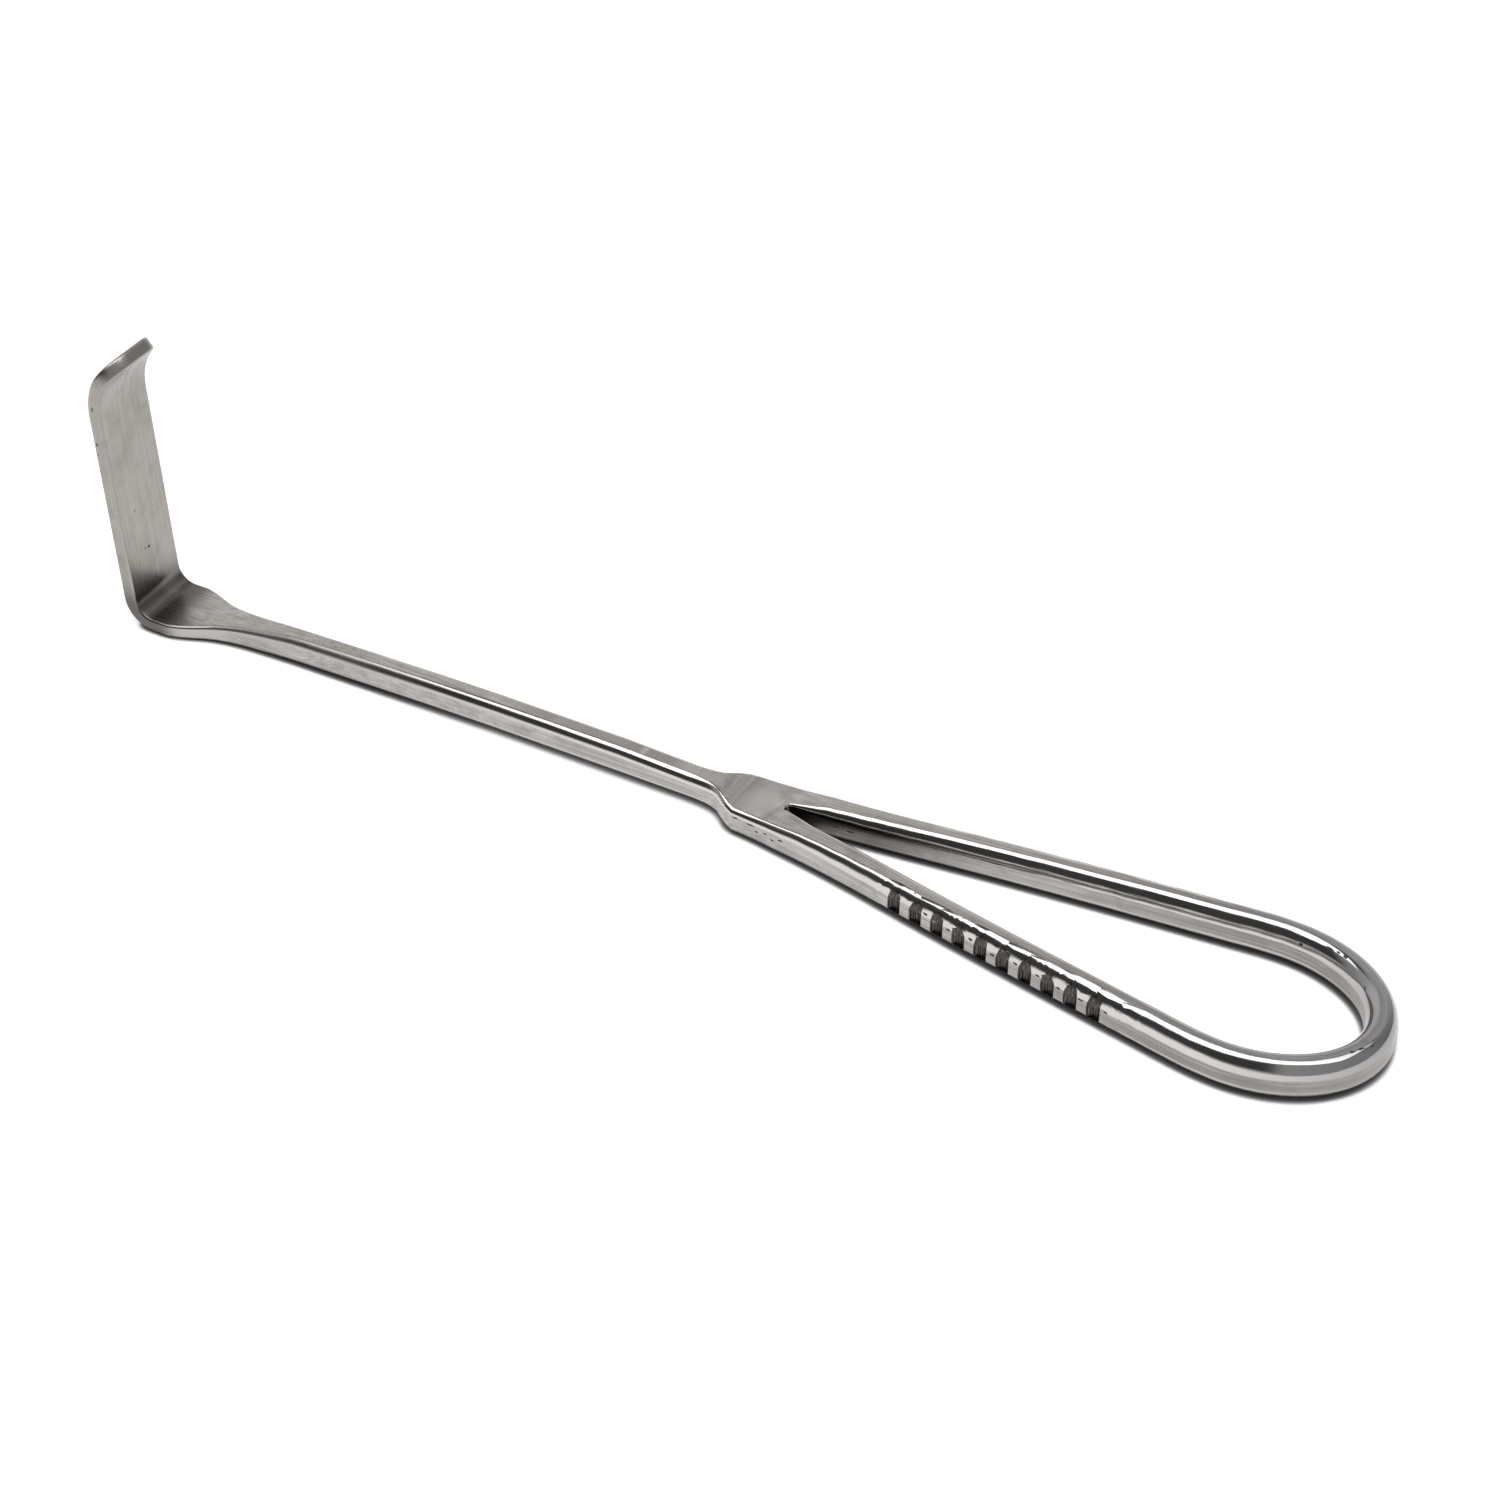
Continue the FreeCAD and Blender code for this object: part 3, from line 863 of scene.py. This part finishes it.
def cut_away(piece, cutter):
    """Cuts the cutter from the piece; cut faces keep the cutter's finish."""
    cut = piece.modifiers.new("cut", "BOOLEAN")
    cut.operation = "DIFFERENCE"
    cut.solver = "EXACT"
    cut.material_mode = "TRANSFER"
    cut.object = cutter
    mesh = plain_mesh(piece)
    piece.modifiers.remove(cut)
    piece.data = mesh
    bpy.data.objects.remove(cutter)
    return len(mesh.polygons)


# %% File lines
LINES_PER_NOTCH = 6
LINE_SPREAD = math.radians(46)
LINE_HEIGHT = 2.2 * MM
LINE_RADIUS = 0.11 * MM
LINE_LENGTH = 1.9 * MM
LINE_OUTSIDE = 0.02 * MM
LINE_WOBBLE = 0.07
LINE_SIZES = ((0.6, 0.6, 0.7), (1.2, 1.2, 1.05))
file_group, sizes, group_end = new_group("upright_file_lines", [
    ("Lines", "Int"), ("Spread", "Float"), ("Notch Radius", "Float"),
    ("Line Radius", "Float"), ("Line Length", "Float"), ("Seed", "Int")])
copies = node(file_group, "GeometryNodeDuplicateElements",
              {"Geometry": sizes["Geometry"], "Amount": sizes["Lines"]}, domain="POINT")
share = maths(file_group, "DIVIDE", copies.outputs["Duplicate Index"],
              less(file_group, sizes["Lines"], 1.0))
wobble = chance(file_group, -LINE_WOBBLE, LINE_WOBBLE, sizes["Seed"])
angle = maths(file_group, "ADD", wobble, times(
    file_group, less(file_group, share, 0.5), times(file_group, sizes["Spread"], 2.0)))
around = node(file_group, "ShaderNodeVectorRotate",
              {"Vector": carried(file_group, "outward"), "Angle": angle},
              rotation_type="Z_AXIS").outputs[0]
inwards = node(file_group, "ShaderNodeVectorMath", {
    0: around, "Scale": times(file_group, sizes["Notch Radius"], -1.0)},
    operation="SCALE").outputs[0]
on_wall = node(file_group, "GeometryNodeSetPosition",
               {"Geometry": copies.outputs["Geometry"], "Offset": inwards})
rod = node(file_group, "GeometryNodeMeshCylinder", {
    "Vertices": 6, "Radius": sizes["Line Radius"], "Depth": sizes["Line Length"]})
rods = node(file_group, "GeometryNodeInstanceOnPoints", {
    "Points": on_wall.outputs[0], "Instance": rod.outputs["Mesh"],
    "Scale": chance(file_group, *LINE_SIZES, sizes["Seed"])})
end_group(file_group, rods.outputs[0], filed_and_painted_shade, group_end)

file_lines = guide_points("file_lines",
                          [(axis.x, axis.y, LINE_HEIGHT) for axis, outward in notches],
                          {"outward": [outward for axis, outward in notches]})
faces = grown(file_lines, file_group, {
    "Lines": LINES_PER_NOTCH, "Spread": LINE_SPREAD, "Notch Radius": NOTCH_RADIUS + LINE_OUTSIDE,
    "Line Radius": LINE_RADIUS, "Line Length": LINE_LENGTH, "Seed": 5})
print("file lines", faces, "faces; steel now", cut_away(retractor, file_lines), "faces")

# %% [markdown]
# ## Marks of use
# Years of trays and sterilisers left pits, nicks and small dents, and each
# land between two notches on the near arm carries one short punch mark. One
# guide point per mark holds the way the surface faces there, the way the mark
# runs and how large it is. Geometry Nodes put a faceted pebble on each, sunk
# by half, and the pebbles are cut from the steel as the file lines were.

# %% Places of the marks
# each mark: place, facing, running direction, size (long, wide, deep), all in mm
ALONG_NEAR_ARM = (0.98, -0.19, -0.05)
MARKS = [((x, y, z), (-0.19, -0.98, 0.0), ALONG_NEAR_ARM, (0.42, 0.19, 0.16))
         for x, y, z in ((40.53, -7.2, 4.0), (44.69, -8.14, 3.5), (48.49, -8.88, 3.9),
                         (52.38, -9.68, 3.3), (56.26, -10.43, 3.9), (60.01, -11.18, 3.9),
                         (63.57, -11.87, 3.7), (67.24, -12.56, 3.7), (71.35, -13.34, 3.8))]
MARKS += [((x, y, z), (-0.1, -1.0, 0.0), (1.0, -0.1, 0.1), (size, 0.16, 0.10))
          for x, y, z, size in ((5.84, -0.87, 3.34, 0.5), (8.54, -1.14, 3.27, 0.7),
                                (11.32, -1.55, 2.95, 0.4), (14.1, -2.02, 3.08, 0.55),
                                (9.7, -1.3, 2.5, 0.3), (12.6, -1.8, 2.4, 0.35))]
MARKS += [((x, y, z), (0.1, -1.0, 0.0), (1.0, 0.1, 0.1), (0.6, 0.13, 0.10))
          for x, y, z in ((17.19, 4.88, 2.9), (19.6, 5.1, 2.73), (22.03, 5.3, 2.6))]
MARKS += [((-105.23, 3.68, 12.66), (1.0, 0.0, 0.0), (0.0, 1.0, 0.1), (0.42, 0.20, 0.16)),
          ((-105.30, 2.75, 12.80), (1.0, 0.0, 0.0), (0.0, 1.0, 0.2), (0.20, 0.14, 0.12)),
          ((-105.0, 1.9, 20.5), (1.0, 0.0, 0.0), (0.0, 0.3, 1.0), (0.16, 0.14, 0.10)),
          ((-107.61, -1.91, 41.11), (0.0, -1.0, 0.0), (0.1, 0.0, 1.0), (0.45, 0.16, 0.12)),
          ((-107.73, -1.91, 34.59), (0.0, -1.0, 0.0), (0.1, 0.0, 1.0), (0.30, 0.20, 0.14)),
          ((-107.86, -1.91, 32.68), (0.0, -1.0, 0.0), (0.1, 0.0, 1.0), (0.25, 0.15, 0.12)),
          ((104.74, -6.92, 6.44), (0.0, 0.0, 1.0), (0.85, 0.5, 0.0), (0.45, 0.17, 0.12)),
          ((105.61, -5.79, 6.45), (0.0, 0.0, 1.0), (0.6, 0.8, 0.0), (0.65, 0.17, 0.12)),
          ((106.69, -4.41, 6.33), (0.33, -0.1, 0.94), (0.5, 0.85, 0.0), (0.40, 0.15, 0.10)),
          ((90.47, 11.53, 4.92), (-0.13, -0.93, 0.35), (1.0, -0.2, 0.0), (0.35, 0.22, 0.16)),
          ((94.75, 11.66, 6.14), (-0.12, -0.32, 0.94), (1.0, -0.3, 0.0), (0.75, 0.13, 0.10)),
          ((96.1, 11.3, 6.20), (-0.12, -0.32, 0.94), (1.0, -0.4, 0.0), (0.45, 0.16, 0.10)),
          ((97.28, 10.8, 6.24), (-0.12, -0.32, 0.94), (1.0, -0.5, 0.0), (0.40, 0.18, 0.12)),
          ((37.99, -5.38, 5.57), (0.0, -0.5, 0.86), (1.0, -0.2, 0.0), (0.30, 0.12, 0.08)),
          ((39.2, -6.19, 5.38), (0.0, -0.6, 0.80), (1.0, -0.2, 0.0), (0.30, 0.12, 0.08))]
print(len(MARKS), "marks")

# %% Marks of use
PEBBLE_SIZES = ((0.8, 0.8, 0.9), (1.15, 1.15, 1.05))
mark_group, sizes, group_end = new_group("pebble_marks", [("Roughness", "Float"), ("Seed", "Int")])
lengthwise = node(mark_group, "FunctionNodeAlignRotationToVector",
                  {"Vector": carried(mark_group, "runs")}, axis="X")
facing_out = node(mark_group, "FunctionNodeAlignRotationToVector", {
    "Rotation": lengthwise.outputs[0], "Vector": carried(mark_group, "facing")},
    axis="Z", pivot_axis="X")
pebble = node(mark_group, "GeometryNodeMeshIcoSphere", {"Radius": 1.0, "Subdivisions": 2})
ragged = node(mark_group, "ShaderNodeTexNoise", {
    "Vector": node(mark_group, "GeometryNodeInputPosition").outputs[0], "Scale": 1.3,
    "Detail": 1.0})
push = times(mark_group, less(mark_group, ragged.outputs["Fac"], 0.5), sizes["Roughness"])
worn_pebble = node(mark_group, "GeometryNodeSetPosition", {
    "Geometry": pebble.outputs["Mesh"],
    "Offset": node(mark_group, "ShaderNodeVectorMath", {
        0: node(mark_group, "GeometryNodeInputNormal").outputs[0], "Scale": push},
        operation="SCALE").outputs[0]})
size_each = node(mark_group, "ShaderNodeVectorMath", {
    0: carried(mark_group, "size"), 1: chance(mark_group, *PEBBLE_SIZES, sizes["Seed"])},
    operation="MULTIPLY")
pebbles = node(mark_group, "GeometryNodeInstanceOnPoints", {
    "Points": sizes["Geometry"], "Instance": worn_pebble.outputs[0],
    "Rotation": facing_out.outputs[0], "Scale": size_each.outputs[0]})
end_group(mark_group, pebbles.outputs[0], soiled, group_end)

surface = surface_of(retractor.data)
spots = [surface.find_nearest(Vector(place) * MM)[0] for place, facing, runs, size in MARKS]
marks = guide_points("marks_of_use", spots, {
    "facing": [facing for place, facing, runs, size in MARKS],
    "runs": [runs for place, facing, runs, size in MARKS],
    "size": [Vector(size) * MM for place, facing, runs, size in MARKS]})
faces = grown(marks, mark_group, {"Roughness": 0.5, "Seed": 11})
print("pebbles", faces, "faces; steel now", cut_away(retractor, marks), "faces")

# %% [markdown]
# ## Normals and path
# Weighted normals let each flat keep its own direction and leave the turning
# to the rounded edges, which is how a ground and polished bar looks. From
# those normals comes one number per corner, how far it is buffed; from the
# guide lines comes the path vector, millimetres along, across and through.

# %% Weighted normals
SHARP_ANGLE = math.radians(33)
LIP_FOOT = 38.0 * MM
FACE_WEIGHT = 70
WEIGHT_THRESHOLD = 0.01

skin = skin_of(retractor.data)
bmesh.ops.triangulate(skin, faces=[f for f in skin.faces if len(f.verts) > 4])
for face in skin.faces:
    face.smooth = True
for line in skin.edges:
    if len(line.link_faces) == 2:
        line.smooth = line.calc_face_angle(0.0) < SHARP_ANGLE
open_edges = sum(1 for line in skin.edges if len(line.link_faces) != 2)
put_back(skin, retractor.data)
flats = retractor.vertex_groups.new(name="flats")
flats.add([v.index for v in retractor.data.vertices if v.co.z < LIP_FOOT], 1.0, "REPLACE")
weigh = retractor.modifiers.new("weigh", "WEIGHTED_NORMAL")
weigh.vertex_group = "flats"
weigh.keep_sharp = True
weigh.weight = FACE_WEIGHT
weigh.thresh = WEIGHT_THRESHOLD
finished = plain_mesh(retractor)
retractor.modifiers.clear()
retractor.data = finished
print("finished skin", len(finished.polygons), "faces,", open_edges, "open edges")

# %% Path vector and polish
NECK_X = 31.0 * MM
FOLD_LENGTH = 40.0
SHEET_MIDDLE = 1.175 * MM
BAR_X = 80.0 * MM
FLAT_LEVEL = 0.985
EDGE_FADE = 0.12
BLADE_FROM, BLADE_FADE = 9.0 * MM, 4.0 * MM
# middle line of the bent strip, from the neck to the tip of the lip, in mm
STRIP = [(31.0, 1.175), (6.0, 1.175), (4.25, 1.175), (1.6, 2.2), (0.35, 4.4), (-1.3, 39.45),
         (-0.75, 43.4), (1.0, 46.9), (3.5, 49.2), (4.6, 50.1)]
strip_line = [Vector((x, z)) * MM for x, z in STRIP]


def path_of(point):
    """Path vector of a point of the skin, in millimetres."""
    x, y, z = point.x + MIDDLE_X, point.y + MIDDLE_Y, point.z
    if x < NECK_X:
        run, off = along_line(strip_line, Vector((x, z)))
        return ((NECK_X - run) / MM, y / MM, off / MM)
    fold = min(1.0, max(0.0, (x - NECK_X) / MM / FOLD_LENGTH))
    across = y + (abs(y) - y) * fold
    if x < CROTCH_X:
        return (x / MM, across / MM, (z - SHEET_MIDDLE) / MM)
    straight = straightened(point)
    run, off = along_line(wire_line, Vector((straight.x, abs(straight.y))))
    return ((CROTCH_X + run) / MM, (wire_line[0].y + off) / MM, (z - SHEET_MIDDLE) / MM)


def buffing(corner):
    """0 on a flat, 1 on a rounded edge, from the lean of the normal."""
    normal = mesh.corner_normals[corner.index].vector
    x = mesh.vertices[corner.vertex_index].co.x + MIDDLE_X
    lean = normal.y if x < BAR_X else normal.z
    level = abs(2 * lean * lean - 1)
    return min(1.0, max(0.0, (FLAT_LEVEL - level) / EDGE_FADE))


mesh = retractor.data
paths = [number for vertex in mesh.vertices for number in path_of(vertex.co)]
blades = [min(1.0, max(0.0, (BLADE_FROM - vertex.co.x - MIDDLE_X) / BLADE_FADE))
          for vertex in mesh.vertices]
polishes = [buffing(corner) for corner in mesh.loops]
keep(mesh, "path", "FLOAT_VECTOR", "POINT", paths)
keep(mesh, "blade", "FLOAT", "POINT", blades)
keep(mesh, "polish", "FLOAT", "CORNER", polishes)
print("path and polish on", len(mesh.vertices), "points")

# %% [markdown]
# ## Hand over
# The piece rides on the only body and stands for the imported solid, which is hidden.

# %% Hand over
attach(retractor, "root")
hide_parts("retractor")
